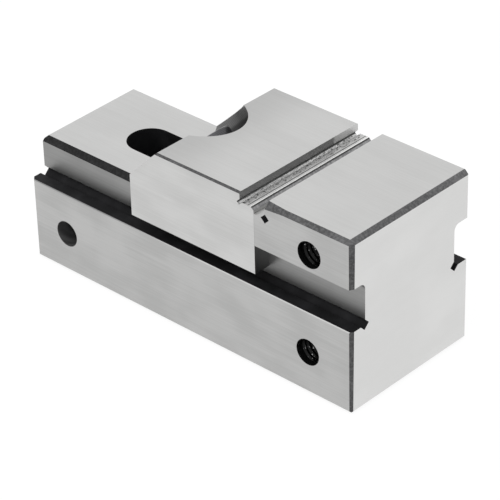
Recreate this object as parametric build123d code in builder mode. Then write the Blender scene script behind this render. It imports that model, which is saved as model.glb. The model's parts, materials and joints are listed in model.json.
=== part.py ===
from build123d import *
from math import cos, radians, sin, sqrt, tan
import os

os.makedirs("parts", exist_ok=True)

# Toolmaker's screwless vise, in millimetres, with its jaws closed.
# X runs from the tail to the fixed jaw, Y across, Z up from the ground base.

# Block
body_length = 63.5
body_width = 25.0
body_height = 28.2
fixed_jaw_length = 17.7
edge_break = 0.4
far_edge_break = 0.1
top_end_chamfer = 0.7
tail_bottom_chamfer = 0.9

# Near edges, dressed by hand, so each is wider at one end
near_top_edge_wide = 0.95
near_top_edge_narrow = 0.64
near_top_edge_taper = 3.4
near_corner_wide = 0.86
near_corner_narrow = 0.34
near_tail_corner = 0.65
tail_top_edge_wide = 0.55
tail_top_edge_narrow = 0.15

# Rail that the moving jaw rides on
rail_top = 19.6
rail_width = 19.2
near_rail_edge = 0.85

# Side grooves for the hold-down clamps
groove_floor = 13.6
groove_roof = 20.5
groove_roof_radius = 1.0
groove_edge_break = 0.12
groove_relief_width = 1.28
groove_relief_depth = 0.45

# Steps along the tops of the two jaw faces, for thin work
fixed_step_width = 2.07
fixed_step_depth = 2.5
fixed_relief_width = 1.08
fixed_relief_depth = 0.52
face_relief_width = 0.8
face_relief_depth = 0.4
moving_step_width = 2.58
moving_step_depth = 1.55
moving_relief_width = 0.6
moving_relief_depth = 0.5
moving_lip_chamfer = 0.5

# Slot through the bed and channel under it
slot_width = 7.1
slot_rear_wall = 9.6
slot_front_wall = 1.0
channel_width = 13.0
channel_ceiling = 10.0
channel_rear_wall = 15.0
channel_front_clearance = 2.58
channel_corner_radius = 3.0

# Notches that the pull pin hooks into
notch_count = 3
notch_pitch = 8.0
notch_clearance = 0.1
notch_swing = 0.65

# Tapped holes in the sides, M5 tapping drill
side_hole_diameter = 4.2
side_hole_depth = 8.0
low_hole_from_tail = 7.2
low_hole_from_end = 8.05
high_hole_from_end = 7.55
tail_hole_height = 6.65
end_hole_height = 6.94
jaw_hole_above_groove = 2.7

# Moving jaw
jaw_closed_gap = 0.02
jaw_slope_height = 5.6
jaw_skirt_drop = 3.8
jaw_side_clearance = 0.02
jaw_sole_clearance = 0.01
jaw_near_edge_break = 0.3
jaw_far_edge_break = 0.15

# Counterbore and conical seat, square to the sloped face
pocket_diameter = 14.0
seat_rise = 0.69
seat_angle = 120.0
seat_clearance = 0.01

# Clamp set: M4 screw, domed washer and pull pin
screw_diameter = 4.0
screw_length = 25.0
head_diameter = 7.0
head_height = 2.8
head_chamfer = 0.3
hex_across_flats = 2.5
hex_depth = 1.6
head_washer_clearance = 0.01
washer_diameter = 7.6
washer_dome_radius = 6.0
washer_rim_thickness = 0.24
washer_hole_clearance = 0.1
washer_rail_clearance = 0.08
jaw_bore_clearance = 0.2
swivel_angle = 1.5
pin_diameter = 7.0
pin_side_clearance = 0.2
pin_hole_clearance = 0.05
pin_end_chamfer = 0.5
pin_engaged_height = 8.25
pin_behind_face = 4.35
pin_drop = 3.5

# Planes and lines of the block
tail_x = -body_length / 2
end_x = body_length / 2
near_y = -body_width / 2
rail_side = rail_width / 2
fixed_face_x = end_x - fixed_jaw_length
fixed_step_wall = fixed_face_x + fixed_step_width
fixed_step_floor = body_height - fixed_step_depth
beyond = 1.0

jaw_hole_height = groove_roof + jaw_hole_above_groove

# Planes and lines of the moving jaw. The clamp axis runs down from the middle of
# its slope at 45 degrees to the pin, so the pin's place sets where the slope is.
jaw_front_x = fixed_face_x - jaw_closed_gap
jaw_skirt_bottom = rail_top - jaw_skirt_drop
pin_engaged_x = fixed_face_x - pin_behind_face
slope_middle_z = body_height - jaw_slope_height / 2
slope_middle_x = pin_engaged_x - (slope_middle_z - pin_engaged_height)
jaw_rear_x = slope_middle_x - jaw_slope_height / 2
jaw_length = jaw_front_x - jaw_rear_x
moving_step_wall = jaw_front_x - moving_step_width
moving_step_floor = body_height - moving_step_depth

# The washer sits as deep as its rim can go above the rail, and the centre of its
# dome follows. The floor of the counterbore stays that much above the rim.
washer_radius = washer_diameter / 2
washer_rim = sqrt(washer_dome_radius**2 - washer_radius**2)
washer_top = washer_rim - washer_rim_thickness
rim_below_slope = sqrt(2) * (slope_middle_z - rail_top - washer_rail_clearance) - washer_radius
dome_below_slope = rim_below_slope - washer_rim
dome_centre_x = slope_middle_x + dome_below_slope / sqrt(2)
dome_centre_z = slope_middle_z - dome_below_slope / sqrt(2)
dome_centre = (dome_centre_x, 0, dome_centre_z)
clamp_plane = Plane(origin=dome_centre, x_dir=(0, 1, 0), z_dir=(1, 0, -1))
pocket_floor = washer_rim - seat_rise
seat_apex = (washer_dome_radius + seat_clearance) / sin(radians(seat_angle / 2))

# Distances down the clamp axis from the centre of the dome
screw_radius = screw_diameter / 2
head_bottom = washer_top - head_washer_clearance
pin_engaged = sqrt(2) * (dome_centre_z - pin_engaged_height)
pin_rest = pin_engaged + pin_drop
notch_radius = pin_diameter / 2 + notch_clearance


def relief_slot(corner, heading, width, depth):
    """Slot across an inside corner, along its diagonal, past it by depth."""
    mouth = 0.75 * width
    shift = (depth - mouth) / 2
    across = corner[0] + shift * cos(radians(heading))
    up = corner[1] + shift * sin(radians(heading))
    with BuildSketch() as slot:
        with Locations((across, up)):
            Rectangle(depth + mouth, width, rotation=heading)
    return slot.sketch


def groove_profile():
    """Groove on the far side: flat floor with a broken outer edge, round inner roof corner."""
    outside = body_width / 2 + beyond
    with BuildSketch() as groove:
        with BuildLine():
            Polyline(
                (rail_side, groove_floor),
                (body_width / 2 - groove_edge_break, groove_floor),
                (outside, groove_floor - groove_edge_break - beyond),
                (outside, groove_roof),
                (rail_side, groove_roof),
                close=True,
            )
        make_face()
        fillet(groove.vertices().filter_by_position(Axis.X, rail_side - 0.01, rail_side + 0.01)
               .sort_by(Axis.Y)[-1], groove_roof_radius)
    return groove.sketch


def dressed_edge(start, end, start_legs, end_legs):
    """Wedge that bevels an edge from one pair of legs to another, each set in its own plane."""
    with BuildPart() as wedge:
        for plane, legs in ((start, start_legs), (end, end_legs)):
            with BuildSketch(plane):
                with BuildLine():
                    Polyline(
                        (-0.5 * legs[0], -0.5 * legs[1]),
                        (1.5 * legs[0], -0.5 * legs[1]),
                        (-0.5 * legs[0], 1.5 * legs[1]),
                        close=True,
                    )
                make_face()
        loft()
    return wedge.part


def side_hole():
    """Tapping-size hole with a drill point, down from its origin."""
    radius = side_hole_diameter / 2
    with BuildPart() as hole:
        with BuildSketch(Plane.XZ):
            with BuildLine():
                Polyline(
                    (0, beyond),
                    (radius, beyond),
                    (radius, -side_hole_depth),
                    (0, -side_hole_depth - radius * tan(radians(31))),
                    close=True,
                )
            make_face()
        revolve(axis=Axis.Z)
    return hole.part


def conical_seat():
    """Cone for the washer, its apex down the axis, open above the pocket floor."""
    mouth = pocket_floor - beyond
    with BuildPart() as seat:
        with BuildSketch(Plane.XZ):
            with BuildLine():
                Polyline(
                    (0, mouth),
                    ((seat_apex - mouth) * tan(radians(seat_angle / 2)), mouth),
                    (0, seat_apex),
                    close=True,
                )
            make_face()
        revolve(axis=Axis.Z)
    return seat.part


# Bed and fixed jaw, from one block
with BuildPart() as vise_body:
    with BuildSketch(Plane.XZ) as outline:
        with BuildLine():
            Polyline(
                (tail_x, 0),
                (end_x, 0),
                (end_x, body_height),
                (fixed_step_wall, body_height),
                (fixed_step_wall, fixed_step_floor),
                (fixed_face_x, fixed_step_floor),
                (fixed_face_x, rail_top),
                (tail_x, rail_top),
                close=True,
            )
        make_face()
        base_ends = outline.vertices().group_by(Axis.Y)[0].sort_by(Axis.X)
        chamfer(base_ends[0], tail_bottom_chamfer)
        chamfer(base_ends[-1], edge_break)
        chamfer(outline.vertices().group_by(Axis.Y)[-1].sort_by(Axis.X)[-1], top_end_chamfer)
    extrude(amount=body_width / 2, both=True)
    chamfer(vise_body.edges().filter_by(Axis.X).group_by(Axis.Z)[0], edge_break)
    chamfer(vise_body.edges().filter_by(Axis.Z).group_by(Axis.Y)[-1], far_edge_break)
    chamfer(vise_body.edges().filter_by(Axis.Z).group_by(Axis.X)[0].sort_by(Axis.Y)[0], near_tail_corner)
    top_edges = vise_body.edges().filter_by(Axis.X).group_by(Axis.Z)[-1]
    chamfer(top_edges.sort_by(Axis.Y)[-1], far_edge_break)
    bevel_sections = []
    for along in (fixed_step_wall, fixed_step_wall + near_top_edge_taper, end_x + beyond):
        bevel_sections.append(Plane((along, near_y, body_height), x_dir=(0, 1, 0), z_dir=(1, 0, 0)))
    near_wide = (near_top_edge_wide, -near_top_edge_wide)
    near_narrow = (near_top_edge_narrow, -near_top_edge_narrow)
    add(dressed_edge(bevel_sections[0], bevel_sections[1], near_wide, near_narrow), mode=Mode.SUBTRACT)
    add(dressed_edge(bevel_sections[1], bevel_sections[2], near_narrow, near_narrow), mode=Mode.SUBTRACT)
    add(
        dressed_edge(
            Plane((end_x, near_y, -beyond), x_dir=(1, 0, 0), z_dir=(0, 0, 1)),
            Plane((end_x, near_y, body_height + beyond), x_dir=(1, 0, 0), z_dir=(0, 0, 1)),
            (-edge_break, near_corner_narrow),
            (-edge_break, near_corner_wide),
        ),
        mode=Mode.SUBTRACT,
    )
    add(
        dressed_edge(
            Plane((tail_x, near_y - beyond, rail_top), x_dir=(1, 0, 0), z_dir=(0, 1, 0)),
            Plane((tail_x, body_width / 2 + beyond, rail_top), x_dir=(1, 0, 0), z_dir=(0, 1, 0)),
            (tail_top_edge_wide, tail_top_edge_wide),
            (tail_top_edge_narrow, tail_top_edge_narrow),
        ),
        mode=Mode.SUBTRACT,
    )

    # Grooves down both sides
    with BuildSketch(Plane.YZ.offset(tail_x - beyond)):
        add(groove_profile())
        add(relief_slot((rail_side, groove_floor), 225, groove_relief_width, groove_relief_depth))
        mirror(about=Plane.YZ)
    extrude(amount=body_length + 2 * beyond, mode=Mode.SUBTRACT)

    # Broken edges of the rail, heavier on the near side
    for side, edge_width in ((-1, near_rail_edge), (1, far_edge_break)):
        with BuildSketch(Plane.YZ.offset(tail_x - beyond)):
            with BuildLine():
                Polyline(
                    (side * (rail_side + edge_width), rail_top - 2 * edge_width),
                    (side * (rail_side + edge_width), rail_top + edge_width),
                    (side * (rail_side - 2 * edge_width), rail_top + edge_width),
                    close=True,
                )
            make_face()
        extrude(amount=fixed_face_x - tail_x + beyond, mode=Mode.SUBTRACT)

    # Grinding reliefs at the foot of the jaw face and in its step
    with BuildSketch(Plane.XZ):
        add(relief_slot((fixed_step_wall, fixed_step_floor), -45, fixed_relief_width, fixed_relief_depth))
        add(relief_slot((fixed_face_x, rail_top), -45, face_relief_width, face_relief_depth))
    extrude(amount=body_width, both=True, mode=Mode.SUBTRACT)

    # Slot for the screw
    slot_rear_x = tail_x + slot_rear_wall
    slot_front_x = fixed_face_x - slot_front_wall
    with BuildSketch(Plane.XY.offset(-beyond)):
        with Locations(((slot_rear_x + slot_front_x) / 2, 0)):
            SlotOverall(slot_front_x - slot_rear_x, slot_width)
    extrude(amount=rail_top + 2 * beyond, mode=Mode.SUBTRACT)

    # Channel for the pin, and its notches
    channel_rear_x = tail_x + channel_rear_wall
    channel_front_x = pin_engaged_x + pin_drop / sqrt(2) + pin_diameter / 2 + channel_front_clearance
    with BuildSketch(Plane.XY.offset(-beyond)):
        with Locations(((channel_rear_x + channel_front_x) / 2, 0)):
            RectangleRounded(channel_front_x - channel_rear_x, channel_width, channel_corner_radius)
    extrude(amount=channel_ceiling + beyond, mode=Mode.SUBTRACT)
    with BuildSketch(Plane.XZ):
        for notch in range(notch_count):
            notch_x = pin_engaged_x - notch * notch_pitch + notch_swing / 2 / sqrt(2)
            notch_z = pin_engaged_height + notch_swing / 2 / sqrt(2)
            with Locations((notch_x, notch_z)):
                SlotCenterToCenter(notch_swing, 2 * notch_radius, rotation=45)
    extrude(amount=channel_width / 2, both=True, mode=Mode.SUBTRACT)

    # Tapped holes on both sides
    hole_places = (
        (tail_x + low_hole_from_tail, tail_hole_height),
        (end_x - low_hole_from_end, end_hole_height),
        (end_x - high_hole_from_end, jaw_hole_height),
    )
    for side in (-1, 1):
        for along, up in hole_places:
            mouth_centre = (along, side * body_width / 2, up)
            mouth_plane = Plane(origin=mouth_centre, x_dir=(1, 0, 0), z_dir=(0, side, 0))
            add(mouth_plane.location * side_hole(), mode=Mode.SUBTRACT)

# Moving jaw
with BuildPart() as moving_jaw:
    with BuildSketch(Plane.XZ) as outline:
        with BuildLine():
            Polyline(
                (jaw_rear_x, jaw_skirt_bottom),
                (jaw_front_x, jaw_skirt_bottom),
                (jaw_front_x, moving_step_floor),
                (moving_step_wall, moving_step_floor),
                (moving_step_wall, body_height),
                (jaw_rear_x + jaw_slope_height, body_height),
                (jaw_rear_x, body_height - jaw_slope_height),
                close=True,
            )
        make_face()
        chamfer(outline.vertices().group_by(Axis.X)[-1].sort_by(Axis.Y)[-1], moving_lip_chamfer)
    extrude(amount=body_width / 2, both=True)
    chamfer(moving_jaw.edges().filter_by(Axis.X).group_by(Axis.Z)[-1].sort_by(Axis.Y)[0], jaw_near_edge_break)
    chamfer(moving_jaw.edges().filter_by(Axis.X).group_by(Axis.Z)[-1].sort_by(Axis.Y)[-1], jaw_far_edge_break)

    # Channel that straddles the rail
    with BuildSketch(Plane.YZ.offset(jaw_rear_x - beyond)):
        with Locations((0, rail_top + jaw_sole_clearance)):
            Rectangle(
                rail_width + 2 * jaw_side_clearance, rail_top, align=(Align.CENTER, Align.MAX)
            )
    extrude(amount=jaw_length + 2 * beyond, mode=Mode.SUBTRACT)

    # Grinding relief in the step
    with BuildSketch(Plane.XZ):
        add(relief_slot((moving_step_wall, moving_step_floor), 225, moving_relief_width, moving_relief_depth))
    extrude(amount=body_width, both=True, mode=Mode.SUBTRACT)

    # Counterbore, conical seat and bore for the screw, opened by the swivel
    with BuildSketch(clamp_plane.offset(pocket_floor)):
        Circle(pocket_diameter / 2)
    extrude(amount=-body_height, mode=Mode.SUBTRACT)
    add(clamp_plane.location * conical_seat(), mode=Mode.SUBTRACT)
    for tilt in (0, swivel_angle):
        bore_heading = (cos(radians(45 - tilt)), 0, -sin(radians(45 - tilt)))
        with BuildSketch(Plane(origin=dome_centre, x_dir=(0, 1, 0), z_dir=bore_heading)):
            Circle(screw_radius + jaw_bore_clearance)
        extrude(amount=body_height, mode=Mode.SUBTRACT)

# Domed washer, turned about the clamp axis
washer_hole = screw_radius + washer_hole_clearance
dome_at_hole = sqrt(washer_dome_radius**2 - washer_hole**2)
dome_middle = (washer_hole + washer_radius) / 2
with BuildPart() as washer:
    with BuildSketch(Plane.XZ):
        with BuildLine():
            Polyline(
                (washer_hole, dome_at_hole),
                (washer_hole, washer_top),
                (washer_radius, washer_top),
                (washer_radius, washer_rim),
            )
            ThreePointArc(
                (washer_radius, washer_rim),
                (dome_middle, sqrt(washer_dome_radius**2 - dome_middle**2)),
                (washer_hole, dome_at_hole),
            )
        make_face()
    revolve(axis=Axis.Z)

# Low-head socket screw, down the clamp axis from its head
with BuildPart() as screw:
    with BuildSketch(Plane.XY.offset(head_bottom - head_height)):
        Circle(head_diameter / 2)
    extrude(amount=head_height)
    chamfer(screw.edges().group_by(Axis.Z)[0], head_chamfer)
    with BuildSketch(Plane.XY.offset(head_bottom)):
        Circle(screw_radius)
    extrude(amount=screw_length)
    chamfer(screw.edges().group_by(Axis.Z)[-1], screw_diameter / 8)
    with BuildSketch(Plane.XY.offset(head_bottom - head_height)):
        RegularPolygon(hex_across_flats / 2, 6, major_radius=False)
    extrude(amount=hex_depth, mode=Mode.SUBTRACT)

# Pull pin across the channel, with its threaded hole
pin_length = channel_width - 2 * pin_side_clearance
with BuildPart() as pin:
    with BuildSketch(Plane.YZ):
        Circle(pin_diameter / 2)
    extrude(amount=pin_length / 2, both=True)
    chamfer(pin.edges().group_by(Axis.X)[0] + pin.edges().group_by(Axis.X)[-1], pin_end_chamfer)
    with BuildSketch(Plane.XY):
        Circle(screw_radius + pin_hole_clearance)
    extrude(amount=pin_diameter, both=True, mode=Mode.SUBTRACT)

vise_body.part.label = "vise_body"
export_step(vise_body.part, "parts/vise_body.step")

moving_jaw.part.label = "moving_jaw"
export_step(moving_jaw.part, "parts/moving_jaw.step")

spherical_washer = clamp_plane.location * washer.part
spherical_washer.label = "spherical_washer"
export_step(spherical_washer, "parts/spherical_washer.step")

clamp_screw = clamp_plane.location * screw.part
clamp_screw.label = "clamp_screw"
export_step(clamp_screw, "parts/clamp_screw.step")

pull_pin = clamp_plane.offset(pin_rest).location * pin.part
pull_pin.label = "pull_pin"
export_step(pull_pin, "parts/pull_pin.step")
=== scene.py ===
import json
import math

import bmesh
import bpy
from bpy.props import FloatProperty, FloatVectorProperty, IntProperty, PointerProperty
from mathutils import Matrix, Vector


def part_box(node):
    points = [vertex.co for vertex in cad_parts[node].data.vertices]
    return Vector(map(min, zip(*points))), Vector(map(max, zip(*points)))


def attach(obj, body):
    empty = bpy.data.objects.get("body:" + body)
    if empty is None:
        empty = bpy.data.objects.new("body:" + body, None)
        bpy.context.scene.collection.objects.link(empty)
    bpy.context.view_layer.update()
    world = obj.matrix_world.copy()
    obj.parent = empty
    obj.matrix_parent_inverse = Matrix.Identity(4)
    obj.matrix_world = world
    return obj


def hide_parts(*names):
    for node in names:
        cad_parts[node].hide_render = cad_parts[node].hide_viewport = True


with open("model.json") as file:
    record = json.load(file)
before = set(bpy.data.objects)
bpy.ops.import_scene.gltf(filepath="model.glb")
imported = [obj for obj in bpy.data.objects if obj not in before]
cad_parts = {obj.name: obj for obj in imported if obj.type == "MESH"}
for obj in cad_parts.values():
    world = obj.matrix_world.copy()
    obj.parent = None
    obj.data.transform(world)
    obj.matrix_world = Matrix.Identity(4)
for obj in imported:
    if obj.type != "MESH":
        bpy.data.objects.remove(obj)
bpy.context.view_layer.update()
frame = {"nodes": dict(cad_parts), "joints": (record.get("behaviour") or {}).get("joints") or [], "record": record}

bl_info = {
    "name": "Screwless vise",
    "version": (1, 0, 0),
    "blender": (4, 5, 0),
    "location": "View3D > Sidebar > Vise",
    "description": "Ground steel finishes, threads and a pale stage for a small screwless vise",
    "category": "Object",
}

# Metres throughout. Boxes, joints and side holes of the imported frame.
BODY_LOW, BODY_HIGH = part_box("vise_body")
JAW_LOW, JAW_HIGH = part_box("moving_jaw")
SCREW_JOINT = next(j for j in frame["joints"] if j["name"] == "screw_turn")
SWIVEL_JOINT = next(j for j in frame["joints"] if j["name"] == "screw_swivel")
CLAMP_CENTRE = Vector(SWIVEL_JOINT["pos_m"])
CLAMP_AXIS = Vector(SCREW_JOINT["axis"]).normalized()
SIDE_HOLES = [m for m in frame["record"]["mounts"] if m["kind"] == "threaded_hole"]
MILLIMETRES = 1000

# Levels of the solids that a finish is chosen by
CLOSED_GAP = 0.00002
FIXED_STEP_WIDTH = 0.00207
FIXED_STEP_DEPTH = 0.0025
JAW_STEP_WIDTH = 0.00258
JAW_STEP_DEPTH = 0.00155
FIXED_FACE = JAW_HIGH.x + CLOSED_GAP
FIXED_STEP_WALL = FIXED_FACE + FIXED_STEP_WIDTH
FIXED_STEP_FLOOR = BODY_HIGH.z - FIXED_STEP_DEPTH
JAW_STEP_FLOOR = JAW_HIGH.z - JAW_STEP_DEPTH
JAW_STEP_WALL = JAW_HIGH.x - JAW_STEP_WIDTH
RAIL_TOP = 0.0196
RAIL_SIDE = 0.0096
GROOVE_ROOF = 0.0205
ROOF_ROUND = 0.001
GROOVE_EDGE = 0.01354
JAW_SOLE = RAIL_TOP + 0.00001
JAW_CHEEK = RAIL_SIDE + 0.00002
JAW_SLOPE_HEIGHT = 0.0056
LEVEL_SLACK = 0.00003

# How far a face's normal leans: square to an axis, on the jaw's slope, or on a bevel
SQUARE = 0.9995
SLOPE_LEAN = 0.7
BEVEL_LEAN = 0.5
NO_LEAN = 0.1

# How near the outside a face has to lie to be one of the broken edges
RAIL_EDGE_ACROSS = (0.0086, 0.0098)
RAIL_EDGE_HEIGHT = (0.0187, 0.0197)
GROOVE_EDGE_BREAK = 0.00012
GROOVE_EDGE_SLACK = 0.0001
END_BEVEL = 0.0008
BODY_EDGE_ACROSS = 0.0119
BODY_EDGE_TOP = 0.0268
BODY_EDGE_BASE = 0.0009
BODY_EDGE_ALONG = 0.0311
JAW_LIP = 0.0006
JAW_RELIEF = 0.001
JAW_EDGE_FRONT = 0.0105
JAW_EDGE_ACROSS = 0.0121

# Side holes: reach about their axis, and from their bottom to their mouth
HOLE_REACH = 0.0027
HOLE_BOTTOM = 0.003
HOLE_MOUTH = 0.01249
THREAD_MIDDLE = 0.00835
SMOOTH_MOUTH = 0.0034
ROOT_OVERLAP = 0.00002

# Thread ridge: where its foot and its crest start and end, as shares of the pitch
RIDGE_FOOT = (0.06, 0.94)
RIDGE_CREST = (0.43, 0.57)

# Clamp screw. Its rows are a radius, or a share of the hexagon, and a depth from the top or
# from the underside of the head.
HEAD_HEIGHT = 0.0028
HEAD_RADIUS = 0.0035
HEAD_STEPS = 96
KNURL_DEPTH = 0.00009
KNURL_START, KNURL_END = 0.00034, 0.0003
HEX_REACH = 0.00125
SOCKET_POINT = (0.00004, 0.0019)
SOCKET_ROWS = ((0.98, 0.0016), (0.99, 0.00012), (1.07, 0.0))
HEAD_CHAMFER = ((0.00318, 0.0), (0.00336, 0.00008), (0.0034, 0.0002))
HEAD_FOOT = ((0.0034, -0.00012), (0.0033, 0.0))
NECK = ((0.0023, 0.0), (0.00205, 0.0001))
NECK_LENGTH = 0.0005
TIP_BEVEL = 0.0005
TIP_RADII = (0.0011, 0.00002)
SCREW_CREST = 0.00199
THREAD_START = 0.0011
THREAD_SPARE = 0.0018

# Colours of single finishes
TAPPED_BORE = (0.014, 0.014, 0.014)
SMOOTH_BORE = (0.11, 0.11, 0.11)
BLACK_OXIDE = (0.085, 0.085, 0.09)
WASHER_STEEL = (0.34, 0.34, 0.34)
PIN_STEEL = (0.30, 0.30, 0.305)
OIL_BLACK = (0.011, 0.011, 0.011)
# Painted highlight: the bright glints on the threads.
THREAD_HIGHLIGHT = (0.42, 0.42, 0.42)
STEP_DARK = (0.42, 0.42, 0.42)
STEP_LIGHT = (0.84, 0.84, 0.83)
# Painted highlight along the front edge of the moving jaw's step.
STEP_HIGHLIGHT = (0.93, 0.93, 0.92)
STEP_LINE = (0.03, 0.03, 0.03)
LIP_DARK = (0.20, 0.20, 0.205)
LIP_LIGHT = (0.36, 0.36, 0.36)
LIP_LINE = (0.06, 0.06, 0.06)
WHITE = (1, 1, 1, 1)
PALE = (0.86, 0.86, 0.86, 1)

# Colour sockets of a Mix node
MIX_FIRST, MIX_SECOND, MIX_RESULT = 6, 7, 2

# Stage: the photograph's view comes from a fit to the edges of the block
FLOOR_REACH = 1.6
FLOOR_CELLS = 8
FLOOR_DROP = 0.00002
FLOOR_GLOW = 1.06
FLOOR_GLOW_SHARE = 0.86
UNDER_OUTER, UNDER_INNER = 0.0005, 0.0015
LAMP_AIM = (0, 0, 0.014)
KEY_LAMP = (1.3, (-0.15, -0.25, 0.62))
FILL_LAMP = (1.0, (0.75, -0.15, 0.55))
SENSOR_WIDTH = 36.0
LENS = 190.1
CLIP = (0.02, 10.0)
CAMERA_PLACE = (0.226466, -0.236698, 0.216672)
CAMERA_TURN = (0.818618, 0.444018, 0.184711, 0.313997)


# Sizes and colours that a user would change

class ViseSteelSettings(bpy.types.PropertyGroup):
    ground_light: FloatVectorProperty(
        name="Ground light", description="Ground faces where the wheel left them brightest",
        subtype="COLOR", size=3, default=(0.585, 0.585, 0.58), min=0, max=1)
    ground_dark: FloatVectorProperty(
        name="Ground dark", description="Ground faces in the troughs of the grinding lines",
        subtype="COLOR", size=3, default=(0.52, 0.52, 0.515), min=0, max=1)
    dressed: FloatVectorProperty(
        name="Dressed edges", description="Hand-dressed edge bevels",
        subtype="COLOR", size=3, default=(0.062, 0.062, 0.063), min=0, max=1)
    # The same colour also serves as painted shade on ground faces.
    dulled_and_shaded: FloatVectorProperty(
        name="Dulled steel", description="Faces that the wheel reached but that stay dull",
        subtype="COLOR", size=3, default=(0.16, 0.16, 0.16), min=0, max=1)
    scale: FloatVectorProperty(
        name="Hardening scale", description="Milled faces left black from hardening",
        subtype="COLOR", size=3, default=(0.012, 0.012, 0.013), min=0, max=1)
    turned: FloatVectorProperty(
        name="Turned bores", description="Counterbore and seat",
        subtype="COLOR", size=3, default=(0.23, 0.23, 0.23), min=0, max=1)
    # Painted shade: the rail's sides are painted darker than the other ground faces.
    rail_shade_tone: FloatProperty(
        name="Rail tone", description="Brightness of the rail's sides beside other ground faces",
        default=0.53, min=0, max=1)
    grinding_pitch: FloatProperty(
        name="Grinding pitch", description="Mean distance between grinding lines",
        subtype="DISTANCE", unit="LENGTH", default=0.00022, min=0.00002, precision=5)


class ViseThreadSettings(bpy.types.PropertyGroup):
    side_pitch: FloatProperty(
        name="Side thread pitch", description="Pitch of the M5 threads in the sides",
        subtype="DISTANCE", unit="LENGTH", default=0.0008, min=0.0002, precision=5)
    side_height: FloatProperty(
        name="Side thread height", description="How far the side threads stand in from the bore",
        subtype="DISTANCE", unit="LENGTH", default=0.00022, min=0.00005, precision=5)
    screw_pitch: FloatProperty(
        name="Screw pitch", description="Pitch of the M4 clamp screw",
        subtype="DISTANCE", unit="LENGTH", default=0.0007, min=0.0002, precision=5)
    screw_root: FloatProperty(
        name="Screw root radius", description="Root radius of the M4 thread",
        subtype="DISTANCE", unit="LENGTH", default=0.00158, min=0.001, precision=5)
    around: IntProperty(
        name="Steps around", description="Steps in one turn of a thread", default=40, min=12)


class ViseStageSettings(bpy.types.PropertyGroup):
    surroundings: FloatProperty(
        name="Surroundings", description="Brightness of the white room on dull surfaces",
        default=0.62, min=0)
    key_power: FloatProperty(
        name="Key lamp", description="Power of the large lamp above",
        unit="POWER", default=2.8, min=0)
    fill_power: FloatProperty(
        name="Fill lamp", description="Power of the lamp at the end face",
        unit="POWER", default=1.6, min=0)


# Shader maths

class Reading:
    """A shader socket that takes part in Python sums."""

    def __init__(self, shading, socket):
        self.shading = shading
        self.socket = socket

    def maths(self, operation, first, second=0.0):
        return self.shading.read(
            "ShaderNodeMath", 0, {"operation": operation}, {0: first, 1: second})

    def __add__(self, other):
        return self.maths("ADD", self, other)

    def __radd__(self, other):
        return self.maths("ADD", other, self)

    def __sub__(self, other):
        return self.maths("SUBTRACT", self, other)

    def __rsub__(self, other):
        return self.maths("SUBTRACT", other, self)

    def __mul__(self, other):
        return self.maths("MULTIPLY", self, other)

    def __rmul__(self, other):
        return self.maths("MULTIPLY", other, self)

    def __abs__(self):
        return self.maths("ABSOLUTE", self)

    def sine(self):
        return self.maths("SINE", self)

    def largest(self, other):
        return self.maths("MAXIMUM", self, other)

    def between(self, low, high):
        """0 at low and 1 at high, smooth between and held outside."""
        return self.shading.read(
            "ShaderNodeMapRange", "Result", {"interpolation_type": "SMOOTHSTEP"},
            {"Value": self, "From Min": low, "From Max": high})


class Shading:
    """The node tree of a material or of the world."""

    def __init__(self, owner):
        self.owner = owner
        owner.use_nodes = True
        self.tree = owner.node_tree
        self.tree.nodes.clear()

    def node(self, kind, settings=None, sockets=None):
        """One node: its settings first, then the values or readings of its sockets."""
        made = self.tree.nodes.new(kind)
        for name, value in (settings or {}).items():
            setattr(made, name, value)
        for name, value in (sockets or {}).items():
            if isinstance(value, Reading):
                self.tree.links.new(value.socket, made.inputs[name])
            else:
                made.inputs[name].default_value = value
        return made

    def read(self, kind, output, settings=None, sockets=None):
        """One node, and the reading of one of its outputs."""
        return Reading(self, self.node(kind, settings, sockets).outputs[output])

    def seen_directly(self):
        """1 for rays from the camera, mirror reflections or through glass, 0 for dull light."""
        path = self.node("ShaderNodeLightPath").outputs
        camera, glossy, through = (
            Reading(self, path[name])
            for name in ("Is Camera Ray", "Is Glossy Ray", "Is Transmission Ray"))
        return camera.largest(glossy).largest(through)


class Finish(Shading):
    """A steel finish, read at places on the part."""

    def __init__(self, name):
        super().__init__(bpy.data.materials.new(name))
        self.place = self.read("ShaderNodeTexCoord", "Object")
        parts = self.node("ShaderNodeSeparateXYZ", {}, {"Vector": self.place})
        self.x, self.y, self.z = (Reading(self, s) for s in parts.outputs)

    def vector(self, operation, first, second=(0, 0, 0), output="Vector"):
        return self.read(
            "ShaderNodeVectorMath", output, {"operation": operation}, {0: first, 1: second})

    def stretched(self, scale, detail=2.0, rough=0.5):
        """Noise drawn out by a scale for each axis, in cycles a metre."""
        return self.read("ShaderNodeTexNoise", "Fac", {}, {
            "Vector": self.vector("MULTIPLY", self.place, scale),
            "Scale": 1.0, "Detail": detail, "Roughness": rough})

    def grain(self, cycles, detail=2.0, rough=0.5):
        """Noise alike on every axis, in cycles a metre."""
        return self.stretched((cycles, cycles, cycles), detail, rough)

    def blend(self, factor, first, second):
        """A colour between two, by a reading."""
        first, second = (
            colour if isinstance(colour, Reading) else (*colour, 1.0)
            for colour in (first, second))
        return self.read("ShaderNodeMix", MIX_RESULT, {"data_type": "RGBA"}, {
            "Factor": factor, MIX_FIRST: first, MIX_SECOND: second})

    def surface(self, colour, roughness, metallic, relief, depth, gloss=0.5):
        """The steel itself, with relief of a depth from a reading."""
        bump = self.read(
            "ShaderNodeBump", "Normal", {}, {"Strength": 1.0, "Distance": depth, "Height": relief})
        steel = self.read("ShaderNodeBsdfPrincipled", "BSDF", {}, {
            "Base Color": colour, "Roughness": roughness, "Metallic": metallic,
            "Specular IOR Level": gloss, "Normal": bump})
        self.node("ShaderNodeOutputMaterial", {}, {"Surface": steel})
        return self.owner


def toned(colour, tone):
    """A colour made lighter or darker, held at white."""
    return tuple(min(1.0, tone * c) for c in colour)


def line_scale(along, pitch, reach):
    """Cycles a metre on each axis for lines that run along one of them."""
    return tuple(1 / reach if axis == along else 1 / pitch for axis in "XYZ")


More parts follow.
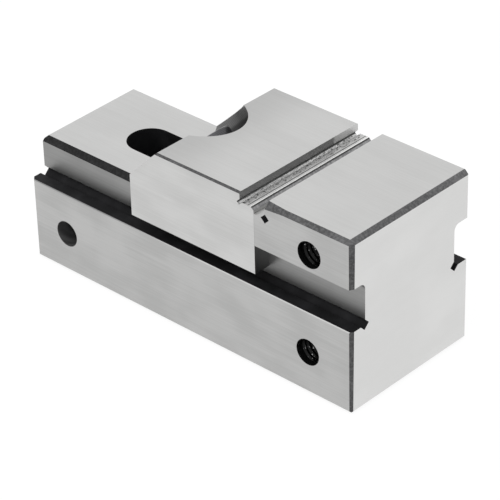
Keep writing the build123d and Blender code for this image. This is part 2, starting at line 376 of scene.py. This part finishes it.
def ground(name, along, tone=1.0, dull=None, streaks=0.5, clouds=0.35):
    """Surface-ground face: fine lines along one axis and faint clouds, darkened where a mask says, toward dull
    steel or as painted shade.
    """
    steel = bpy.context.scene.vise_steel
    finish = Finish(name)
    line_reach, line_range, line_share = 0.012, (0.28, 0.72), 0.5
    band_pitch, band_reach, band_range, band_share = 0.0016, 0.045, (0.3, 0.7), 0.2
    cloud_width, cloud_reach, cloud_range = 0.006, 0.010, (0.3, 0.7)
    middle, roughness, rough_fall, relief = 0.5, 0.40, 0.06, 0.0000025
    fine = finish.stretched(line_scale(along, steel.grinding_pitch, line_reach), 3.0, 0.6)
    broad = finish.stretched(line_scale(along, band_pitch, band_reach))
    cloud = finish.stretched(line_scale(along, cloud_width, cloud_reach))
    lines = (
        fine.between(*line_range) * line_share + broad.between(*band_range) * band_share
        - (line_share + band_share) * middle)
    lift = lines * streaks + (cloud.between(*cloud_range) - middle) * clouds + middle
    colour = finish.blend(lift, toned(steel.ground_dark, tone), toned(steel.ground_light, tone))
    # The mask darkens the face toward dull steel: on the jaw's legs the steel is dull; at the foot of the sides,
    # on the jaw's top by its slope and on the step wall it is painted shade.
    if dull:
        colour = finish.blend(dull(finish), colour, steel.dulled_and_shaded)
    return finish.surface(colour, roughness - lift * rough_fall, 1.0, fine, relief * streaks)


def shade_toward_base(finish):
    """Painted shade: a side face is painted a little darker toward its foot."""
    fade_height, darkening = 0.013, 0.03
    return (1 - finish.z.between(0.0, fade_height)) * darkening


def groove_edge_fade(finish):
    """The broken edge of a groove is bright toward the fixed jaw and darkened toward the tail."""
    dark_end, bright_end, darkening = -0.018, 0.004, 0.85
    return (1 - finish.x.between(dark_end, bright_end)) * darkening


def shade_toward_slope(finish):
    """Painted shade: the top of the moving jaw is painted darker toward its slope; the slope itself is left
    bright.
    """
    dark_end, bright_end, darkening = 0.006, 0.017, 0.24
    slope_end, top_start = 0.0006, 0.0001
    on_top = finish.z.between(JAW_HIGH.z - slope_end, JAW_HIGH.z - top_start)
    rear = 1 - finish.x.between(JAW_LOW.x + dark_end, JAW_LOW.x + bright_end)
    return rear * on_top * darkening


def shade_on_step_wall(finish):
    """Painted shade: the wall of the moving jaw's step is painted dark, all but its far end."""
    dark_end, bright_end, darkening = 0.0070, 0.0076, 0.78
    return (1 - finish.y.between(dark_end, bright_end)) * darkening


def jaw_legs(finish):
    """The legs of the moving jaw's front face, beside the rail, are dull."""
    soft, soft_outside, darkening = 0.0002, 0.0001, 0.95
    beside = abs(finish.y).between(RAIL_SIDE - soft, RAIL_SIDE + soft_outside)
    below = 1 - finish.z.between(GROOVE_ROOF - soft, GROOVE_ROOF + soft)
    return beside * below * darkening


def dressed(name, tone=1.0):
    """Edge bevel rubbed by hand: dark, with short strokes and a few lighter, worn streaks."""
    steel = bpy.context.scene.vise_steel
    finish = Finish(name)
    stroke_range, stroke_share = (0.35, 0.7), 0.6
    patch_range, patch_share = (0.45, 0.75), 0.4
    darkest, lightest = 0.75 * tone, 1.8 * tone
    roughness, rough_fall, metallic, relief, gloss = 0.42, 0.08, 0.9, 0.000006, 0.3
    strokes = finish.grain(2600, 3.0, 0.6)
    patches = finish.grain(160)
    lift = strokes.between(*stroke_range) * stroke_share
    lift = lift + patches.between(*patch_range) * patch_share
    colour = finish.blend(lift, toned(steel.dressed, darkest), toned(steel.dressed, lightest))
    return finish.surface(
        colour, roughness - lift * rough_fall, metallic, strokes, relief, gloss)


def scale(name):
    """Milled face left black from hardening, with faint cutter marks."""
    steel = bpy.context.scene.vise_steel
    finish = Finish(name)
    cloud_range, lightest = (0.4, 0.8), 2.2
    roughness, rough_fall, metallic, relief, gloss = 0.62, 0.12, 0.2, 0.000006, 0.12
    marks = finish.grain(3200)
    cloud = finish.grain(300)
    colour = finish.blend(cloud.between(*cloud_range), steel.scale, toned(steel.scale, lightest))
    return finish.surface(colour, roughness - cloud * rough_fall, metallic, marks, relief, gloss)


def turned(name, colour, centre, axis, pitch=0.00018, metallic=0.9, rough=0.36, deep_shade=0.0):
    """Lathe-turned surface with rings about an axis, with painted shade that darkens it further down that axis."""
    finish = Finish(name)
    ring_height, cloud_height, middle, ring_range = 0.25, 0.6, 0.5, (0.1, 0.9)
    darkest, lightest, deep_shade_range, deep_shade_tone = 0.7, 1.3, (0.0016, 0.0021), 0.2
    rough_fall, relief, gloss = 0.08, 0.000004, 0.3
    away = finish.vector("SUBTRACT", finish.place, tuple(centre))
    down = finish.vector("DOT_PRODUCT", away, tuple(axis), "Value")
    aside = finish.vector("CROSS_PRODUCT", away, tuple(axis))
    out = finish.vector("LENGTH", aside, output="Value")
    wave = ((down + out) * (2 * math.pi / pitch)).sine()
    cloud = finish.grain(500, 3.0)
    rings = wave * ring_height + middle + (cloud - middle) * cloud_height
    shade = finish.blend(
        rings.between(*ring_range), toned(colour, darkest), toned(colour, lightest))
    # Painted shade: deeper down the axis the surface is painted darker.
    if deep_shade:
        shade = finish.blend(down.between(*deep_shade_range) * deep_shade, shade, toned(colour, deep_shade_tone))
    return finish.surface(shade, rough - rings * rough_fall, metallic, rings, relief, gloss)


def glinting_black_thread(name):
    """Black, oily thread with a few painted highlights as bright glints."""
    finish = Finish(name)
    highlight_range = (0.61, 0.67)
    roughness, metallic, relief, gloss = 0.3, 0.9, 0.000004, 0.4
    spots = finish.grain(2400, 3.0, 0.6)
    colour = finish.blend(spots.between(*highlight_range), OIL_BLACK, THREAD_HIGHLIGHT)
    return finish.surface(colour, roughness, metallic, spots, relief, gloss)


def ledge(name):
    """Step of the moving jaw: speckled beside its wall, then a dark line and a painted highlight along its front
    edge.
    """
    finish = Finish(name)
    foot_end, speckled_end = (-0.00045, -0.00038), (0.0011, 0.0014)
    line_place, line_edge, highlight_start = 0.0015, (0.00005, 0.0001), (0.00190, 0.00197)
    mottle_range, speck_range, share, middle = (0.42, 0.58), (0.53, 0.6), 0.5, 0.5
    coarse_share, even_share, dark = 0.8, 0.2, 0.9
    roughness, rough_fall, metallic, relief = 0.5, 0.12, 0.95, 0.00001
    scratch = finish.stretched((5200, 900, 5200), 4.0, 0.7)
    mottle = finish.stretched((2600, 1500, 2600), 3.0, 0.65)
    from_wall = finish.x - JAW_STEP_WALL
    coarse = 1 - from_wall.between(*speckled_end)
    mixed = scratch.between(*mottle_range) * share + mottle.between(*mottle_range) * share
    lift = (mixed - middle) * (coarse * coarse_share + even_share) + middle
    foot = 1 - from_wall.between(*foot_end)
    line = 1 - abs(from_wall - line_place).between(*line_edge)
    specks = mottle.between(*speck_range) * coarse * dark
    bare = finish.blend(lift, STEP_DARK, STEP_LIGHT)
    # Painted highlight along the step's front edge.
    highlighted = finish.blend(from_wall.between(*highlight_start), bare, STEP_HIGHLIGHT)
    colour = finish.blend(line.largest(specks).largest(foot) * dark, highlighted, STEP_LINE)
    return finish.surface(colour, roughness - lift * rough_fall, metallic, lift, relief)


def lip(name):
    """Chamfer in front of that step: grey steel, with a dark line along its upper edge."""
    finish = Finish(name)
    stroke_range, line_edge = (0.35, 0.7), (0.00012, 0.0002)
    roughness, metallic, relief, gloss = 0.4, 0.9, 0.000006, 0.3
    strokes = finish.grain(2600, 3.0, 0.6)
    down = JAW_STEP_FLOOR - finish.z
    grey = finish.blend(strokes.between(*stroke_range), LIP_DARK, LIP_LIGHT)
    colour = finish.blend(1 - down.between(*line_edge), grey, LIP_LINE)
    return finish.surface(colour, roughness, metallic, strokes, relief, gloss)


# Which finish each face of a CAD node takes

def close(value, *levels):
    """Whether a value lies at one of the levels."""
    return any(abs(value - level) < LEVEL_SLACK for level in levels)


def square_axis(normal):
    """The axis that a face is square to, or None."""
    across = max(range(3), key=lambda i: abs(normal[i]))
    return across if abs(normal[across]) > SQUARE else None


def up_and_forward(normal):
    """Whether a face slants up and toward the fixed jaw's end."""
    return normal[0] > BEVEL_LEAN and normal[2] > BEVEL_LEAN


def in_side_hole(centre):
    """Whether a face lies inside one of the side holes."""
    x, y, z = centre
    for hole in SIDE_HOLES:
        hole_x, hole_y, hole_z = hole["pos_m"]
        near_axis = math.hypot(x - hole_x, z - hole_z) < HOLE_REACH
        if near_axis and HOLE_BOTTOM < abs(y) < HOLE_MOUTH and y * hole_y > 0:
            return True
    return False


def body_finish(centre, normal):
    """The finish of one face of the bed and fixed jaw, by where it lies."""
    x, y, z = centre
    across = square_axis(normal)
    if in_side_hole(centre):
        return "smooth_bore" if x < 0 else "bore"
    if across == 0 and close(x, BODY_LOW.x, BODY_HIGH.x, FIXED_FACE, FIXED_STEP_WALL):
        return "ground_end"
    if across == 1 and close(abs(y), BODY_HIGH.y):
        return "ground_side"
    if across == 1 and close(abs(y), RAIL_SIDE):
        return "ground_rail"
    if across == 2 and close(z, 0.0, RAIL_TOP, BODY_HIGH.z):
        return "ground_top"
    if across == 2 and close(z, FIXED_STEP_FLOOR):
        return "ledge"
    roof = GROOVE_ROOF - ROOF_ROUND < z < GROOVE_ROOF + LEVEL_SLACK
    if roof and x > FIXED_FACE and abs(y) > RAIL_SIDE - LEVEL_SLACK:
        return "ground_rail"
    over_rail_edge = RAIL_EDGE_ACROSS[0] < abs(y) < RAIL_EDGE_ACROSS[1]
    if across is None and over_rail_edge and RAIL_EDGE_HEIGHT[0] < z < RAIL_EDGE_HEIGHT[1]:
        return "rail_edge"
    if x > BODY_HIGH.x - END_BEVEL and up_and_forward(normal):
        return "end_edge"
    at_groove = abs(y) > BODY_HIGH.y - GROOVE_EDGE_BREAK and abs(normal[0]) < NO_LEAN
    if at_groove and abs(z - GROOVE_EDGE) < GROOVE_EDGE_SLACK:
        return "groove_edge"
    outside = (
        abs(y) > BODY_EDGE_ACROSS or z > BODY_EDGE_TOP or z < BODY_EDGE_BASE
        or abs(x) > BODY_EDGE_ALONG)
    return "dressed" if across is None and outside else "scale"


def jaw_finish(centre, normal):
    """The finish of one face of the moving jaw, by where it lies."""
    x, y, z = centre
    across = square_axis(normal)
    if across == 0 and close(x, JAW_LOW.x, JAW_HIGH.x):
        return "ground_end"
    if across == 1 and close(abs(y), JAW_HIGH.y):
        return "ground_side"
    if across == 1 and close(abs(y), JAW_CHEEK):
        return "ground_rail"
    if across == 2 and close(z, JAW_LOW.z, JAW_SOLE, JAW_HIGH.z):
        return "ground_top"
    if across == 2 and close(z, JAW_STEP_FLOOR):
        return "ledge"
    on_slope = close(x - z, JAW_LOW.x - JAW_HIGH.z + JAW_SLOPE_HEIGHT)
    if on_slope and normal[0] < -SLOPE_LEAN and normal[2] > SLOPE_LEAN:
        return "ground_top"
    if across == 0 and close(x, JAW_STEP_WALL):
        return "step_wall"
    slanted = up_and_forward(normal)
    if slanted and x > JAW_HIGH.x - JAW_LIP:
        return "lip"
    at_step_foot = abs(x - JAW_STEP_WALL) < JAW_RELIEF and abs(z - JAW_STEP_FLOOR) < JAW_RELIEF
    if slanted and at_step_foot:
        return "ledge"
    return "dressed" if x > JAW_EDGE_FRONT or abs(y) > JAW_EDGE_ACROSS else "turned"


def dress(node, choose, finishes):
    """Gives each face of a CAD node its finish, leaving the mesh as it is."""
    mesh = frame["nodes"][node].data
    names = sorted(finishes)
    mesh.materials.clear()
    for name in names:
        mesh.materials.append(finishes[name])
    for face in mesh.polygons:
        face.material_index = names.index(choose(face.center, face.normal))


def coat(node, finish):
    """Gives all of a CAD node one finish."""
    mesh = frame["nodes"][node].data
    mesh.materials.clear()
    mesh.materials.append(finish)


# Meshes

def skin(mesh, rings):
    """Faces from each ring of corners to the next, and over both ends."""
    around = len(rings[0])
    for before, after in zip(rings, rings[1:]):
        for i in range(around):
            j = (i + 1) % around
            mesh.faces.new((before[i], before[j], after[j], after[i]))
    mesh.faces.new(rings[0][::-1])
    mesh.faces.new(rings[-1])


def about_z(radius, angle, height):
    """A place on a turned form about Z."""
    return radius * math.cos(angle), radius * math.sin(angle), height


def thread_ridge(mesh, root, crest, pitch, start, length, around):
    """One helical ridge about Z, a closed solid, that fades over its first and last turn."""
    steps = int(length / pitch * around)
    (foot_start, foot_end), (crest_start, crest_end) = RIDGE_FOOT, RIDGE_CREST
    rings = []
    for step in range(steps + 1):
        turn = step / around
        fade = min(1.0, turn, (steps - step) / around)
        angle = 2 * math.pi * turn
        tip = root + (crest - root) * fade
        ring = []
        for radius, along in (
            (root, foot_start), (tip, crest_start), (tip, crest_end), (root, foot_end),
        ):
            height = start + pitch * (turn + along - 0.5)
            ring.append(mesh.verts.new(about_z(radius, angle, height)))
        rings.append(ring)
    skin(mesh, rings)


def turned_form(mesh, outline, around):
    """A closed form about Z from rows of radius and height. A radius may be a function."""
    rows = []
    for radius, height in outline:
        row = []
        for step in range(around):
            angle = 2 * math.pi * step / around
            reach = radius(step, angle) if callable(radius) else radius
            row.append(mesh.verts.new(about_z(reach, angle, height)))
        rows.append(row)
    skin(mesh, rows)


def socket(share):
    """The radius of a hexagon at a step and an angle, by its share of the socket's size."""
    return lambda step, angle: (
        share * HEX_REACH / math.cos((angle % (math.pi / 3)) - math.pi / 6))


def knurl(step, angle):
    """The radius of the knurled head: every other step is cut in."""
    return HEAD_RADIUS - (KNURL_DEPTH if step % 2 else 0.0)


def screw_outline(top, tip, root):
    """Rows of radius and height of the clamp screw, from its socket round to its tip."""
    under = top + HEAD_HEIGHT
    return [
        (SOCKET_POINT[0], top + SOCKET_POINT[1]),
        *((socket(share), top + depth) for share, depth in SOCKET_ROWS),
        *((radius, top + depth) for radius, depth in HEAD_CHAMFER),
        (knurl, top + KNURL_START),
        (knurl, under - KNURL_END),
        *((radius, under + depth) for radius, depth in (*HEAD_FOOT, *NECK)),
        (root, under + NECK_LENGTH),
        (root, tip - TIP_BEVEL),
        *((radius, tip) for radius in TIP_RADII)]


def made_piece(name, mesh, material, place):
    """A scene object from a bmesh, placed in the frame."""
    smooth_below = math.radians(35)
    bmesh.ops.recalc_face_normals(mesh, faces=mesh.faces)
    data = bpy.data.meshes.new(name)
    mesh.to_mesh(data)
    mesh.free()
    data.transform(place)
    data.materials.append(material)
    data.shade_smooth()
    data.set_sharp_from_angle(angle=smooth_below)
    piece = bpy.data.objects.new(name, data)
    bpy.context.scene.collection.objects.link(piece)
    return piece


def facing(origin, axis):
    """The placing that turns Z along an axis from an origin."""
    turn = Vector(axis).to_track_quat("Z", "Y").to_matrix().to_4x4()
    return Matrix.Translation(Vector(origin)) @ turn


# Operators

class VISE_OT_bed(bpy.types.Operator):
    """Finish the bed and fixed jaw: ground and black faces, dressed edges and bores"""
    bl_idname = "vise.bed"
    bl_label = "Bed and fixed jaw"

    def execute(self, context):
        steel = context.scene.vise_steel
        dress("vise_body", body_finish, {
            # The tones are painted light and shade: the end faces are painted lighter than the top, and the sides
            # and the rail darker; the end bevel is painted lighter and the rail's bevel darker than the other
            # dressed edges.
            "ground_top": ground("ground_top", "X", streaks=0.8),
            "ground_side": ground(
                "ground_side", "X", 0.83, shade_toward_base, streaks=1.5, clouds=1.0),
            "ground_rail": ground("ground_rail", "X", steel.rail_shade_tone, streaks=1.3, clouds=0.8),
            "ground_end": ground("ground_end", "Y", 1.2, streaks=0.15),
            "groove_edge": ground("groove_edge", "X", 0.8, groove_edge_fade),
            "dressed": dressed("dressed_edge", 1.3),
            "end_edge": dressed("end_edge", 1.85),
            "rail_edge": dressed("rail_edge", 0.3),
            "scale": scale("hardening_scale"),
            "bore": turned(
                "tapped_bore", TAPPED_BORE, (0, 0, 0), (0, 1, 0), pitch=0.0004, metallic=0.6),
            "smooth_bore": turned(
                "smooth_bore", SMOOTH_BORE, (0, 0, 0), (0, 1, 0),
                pitch=0.002, metallic=0.4, rough=0.6),
            "ledge": ground("fixed_step", "Y"),
        })
        return {"FINISHED"}


class VISE_OT_moving_jaw(bpy.types.Operator):
    """Finish the moving jaw: ground faces, counterbore and the step at its front"""
    bl_idname = "vise.moving_jaw"
    bl_label = "Moving jaw"

    def execute(self, context):
        steel = context.scene.vise_steel
        dress("moving_jaw", jaw_finish, {
            "ground_top": ground("jaw_ground_top", "X", 1.0, shade_toward_slope, streaks=0.8),
            "ground_side": ground("jaw_ground_side", "X", 1.03, streaks=1.1, clouds=0.8),
            # Painted shade: the cheeks beside the rail are painted darker.
            "ground_rail": ground("jaw_ground_rail", "X", steel.rail_shade_tone),
            "ground_end": ground("jaw_ground_end", "Y", 0.95, jaw_legs),
            "dressed": dressed("jaw_dressed_edge", 1.2),
            "step_wall": ground("jaw_step_wall", "Y", 1.0, shade_on_step_wall),
            "lip": lip("jaw_lip"),
            # The counterbore takes painted shade deep down.
            "turned": turned(
                "counterbore", steel.turned, CLAMP_CENTRE, CLAMP_AXIS, rough=0.5, deep_shade=0.65),
            "ledge": ledge("moving_step"),
        })
        return {"FINISHED"}


class VISE_OT_side_threads(bpy.types.Operator):
    """Cut the M5 threads into the side holes"""
    bl_idname = "vise.side_threads"
    bl_label = "Side threads"

    def execute(self, context):
        sizes = context.scene.vise_threads
        steel = glinting_black_thread("oiled_thread")
        for hole in SIDE_HOLES:
            wall = hole["dims"]["r_mm"] / MILLIMETRES
            length = hole["dims"]["length_mm"] / MILLIMETRES
            smooth_mouth = SMOOTH_MOUTH if "tail" in hole["name"] else 0.0
            mesh = bmesh.new()
            thread_ridge(
                mesh, wall + ROOT_OVERLAP, wall - sizes.side_height, sizes.side_pitch,
                sizes.side_pitch / 2 - length / 2, length - sizes.side_pitch - smooth_mouth,
                sizes.around)
            along, side, up = hole["pos_m"]
            place = facing((along, math.copysign(THREAD_MIDDLE, side), up), hole["axis"])
            piece = made_piece(hole["name"] + "_thread", mesh, steel, place)
            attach(piece, "body")
        return {"FINISHED"}


class VISE_OT_clamp_screw(bpy.types.Operator):
    """Build the clamp screw with its thread, socket and knurl"""
    bl_idname = "vise.clamp_screw"
    bl_label = "Clamp screw"

    def execute(self, context):
        sizes = context.scene.vise_threads
        corners = frame["nodes"]["clamp_screw"].data.vertices
        reach = [(v.co - CLAMP_CENTRE).dot(CLAMP_AXIS) for v in corners]
        top, tip = min(reach), max(reach)
        under = top + HEAD_HEIGHT
        mesh = bmesh.new()
        turned_form(mesh, screw_outline(top, tip, sizes.screw_root), HEAD_STEPS)
        thread_ridge(
            mesh, sizes.screw_root - ROOT_OVERLAP, SCREW_CREST, sizes.screw_pitch,
            under + THREAD_START, tip - under - THREAD_SPARE, sizes.around)
        black = turned(
            "black_oxide", BLACK_OXIDE, CLAMP_CENTRE, CLAMP_AXIS, pitch=0.00025, metallic=0.7)
        place = facing(CLAMP_CENTRE, CLAMP_AXIS)
        screw = made_piece("clamp_screw_threaded", mesh, black, place)
        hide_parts("clamp_screw")
        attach(screw, "clamp_screw")
        return {"FINISHED"}


class VISE_OT_spherical_washer(bpy.types.Operator):
    """Finish the spherical washer, turned about the screw"""
    bl_idname = "vise.spherical_washer"
    bl_label = "Spherical washer"

    def execute(self, context):
        coat("spherical_washer", turned(
            "washer_steel", WASHER_STEEL, CLAMP_CENTRE, CLAMP_AXIS, pitch=0.00015))
        return {"FINISHED"}


class VISE_OT_pull_pin(bpy.types.Operator):
    """Finish the pull pin, turned about its own length"""
    bl_idname = "vise.pull_pin"
    bl_label = "Pull pin"

    def execute(self, context):
        coat("pull_pin", turned("pin_steel", PIN_STEEL, (0, 0, 0), (0, 1, 0), pitch=0.0002))
        return {"FINISHED"}


# Stage

def pale_floor(scene):
    """The floor, which looks white beside the vise, and not through its slot."""
    pale = Finish("pale_floor")
    beside = abs(pale.x).between(BODY_HIGH.x - UNDER_INNER, BODY_HIGH.x - UNDER_OUTER).largest(
        abs(pale.y).between(BODY_HIGH.y - UNDER_INNER, BODY_HIGH.y - UNDER_OUTER))
    dull = pale.read("ShaderNodeBsdfDiffuse", 0, {}, {"Color": PALE})
    white = pale.read("ShaderNodeEmission", 0, {}, {"Color": WHITE, "Strength": FLOOR_GLOW})
    mixed = pale.read("ShaderNodeMixShader", 0, {}, {
        0: pale.seen_directly() * beside * FLOOR_GLOW_SHARE, 1: dull, 2: white})
    pale.node("ShaderNodeOutputMaterial", {}, {"Surface": mixed})
    sheet = bmesh.new()
    bmesh.ops.create_grid(
        sheet, x_segments=FLOOR_CELLS, y_segments=FLOOR_CELLS, size=FLOOR_REACH)
    data = bpy.data.meshes.new("floor")
    sheet.to_mesh(data)
    sheet.free()
    data.materials.append(pale.owner)
    floor = bpy.data.objects.new("floor", data)
    floor.location.z = -FLOOR_DROP
    scene.collection.objects.link(floor)


def white_room(scene, surroundings):
    """The world: white where it is seen directly, and dimmer as light on dull surfaces."""
    room = Shading(bpy.data.worlds.new("white_room"))
    strength = room.seen_directly() * (1 - surroundings) + surroundings
    back = room.read("ShaderNodeBackground", 0, {}, {"Color": WHITE, "Strength": strength})
    room.node("ShaderNodeOutputWorld", {}, {"Surface": back})
    scene.world = room.owner


def set_up(holder, spot, turn):
    """Puts a lamp or the camera into the scene, at a spot and with a turn."""
    holder.location = spot
    holder.rotation_mode = "QUATERNION"
    holder.rotation_quaternion = turn
    bpy.context.scene.collection.objects.link(holder)


def soft_lamp(name, power, size, spot):
    """A square lamp that shines on the vise."""
    lamp = bpy.data.lights.new(name, "AREA")
    lamp.energy = power
    lamp.size = size
    aim = Vector(LAMP_AIM) - Vector(spot)
    set_up(bpy.data.objects.new(name, lamp), spot, aim.to_track_quat("-Z", "Y"))


def photo_camera(scene):
    """The camera where the photograph was taken from."""
    lens = bpy.data.cameras.new("camera")
    lens.sensor_width = SENSOR_WIDTH
    lens.lens = LENS
    lens.clip_start, lens.clip_end = CLIP
    camera = bpy.data.objects.new("camera", lens)
    set_up(camera, CAMERA_PLACE, CAMERA_TURN)
    scene.camera = camera


class VISE_OT_stage(bpy.types.Operator):
    """Set the pale floor, the white room, the soft lamps and the camera"""
    bl_idname = "vise.stage"
    bl_label = "Stage"

    def execute(self, context):
        scene = context.scene
        settings = scene.vise_stage
        pale_floor(scene)
        white_room(scene, settings.surroundings)
        soft_lamp("key_lamp", settings.key_power, *KEY_LAMP)
        soft_lamp("fill_lamp", settings.fill_power, *FILL_LAMP)
        photo_camera(scene)
        scene.view_settings.view_transform = "Standard"
        return {"FINISHED"}


class VISE_PT_panel(bpy.types.Panel):
    """Buttons and settings for the vise"""
    bl_label = "Screwless vise"
    bl_idname = "VISE_PT_panel"
    bl_space_type = "VIEW_3D"
    bl_region_type = "UI"
    bl_category = "Vise"

    def draw(self, context):
        scene = context.scene
        for settings in (scene.vise_steel, scene.vise_threads, scene.vise_stage):
            for name in settings.__annotations__:
                self.layout.prop(settings, name)
        for operator in OPERATORS:
            self.layout.operator(operator.bl_idname)


OPERATORS = (
    VISE_OT_bed, VISE_OT_moving_jaw, VISE_OT_side_threads, VISE_OT_clamp_screw,
    VISE_OT_spherical_washer, VISE_OT_pull_pin, VISE_OT_stage)
CLASSES = (
    ViseSteelSettings, ViseThreadSettings, ViseStageSettings, *OPERATORS, VISE_PT_panel)


def register():
    for kind in CLASSES:
        bpy.utils.register_class(kind)
    bpy.types.Scene.vise_steel = PointerProperty(type=ViseSteelSettings)
    bpy.types.Scene.vise_threads = PointerProperty(type=ViseThreadSettings)
    bpy.types.Scene.vise_stage = PointerProperty(type=ViseStageSettings)


def unregister():
    del bpy.types.Scene.vise_stage
    del bpy.types.Scene.vise_threads
    del bpy.types.Scene.vise_steel
    for kind in reversed(CLASSES):
        bpy.utils.unregister_class(kind)


def main():
    register()
    bpy.ops.vise.bed()
    bpy.ops.vise.moving_jaw()
    bpy.ops.vise.side_threads()
    bpy.ops.vise.clamp_screw()
    bpy.ops.vise.spherical_washer()
    bpy.ops.vise.pull_pin()
    bpy.ops.vise.stage()


if __name__ == "__main__":
    main()
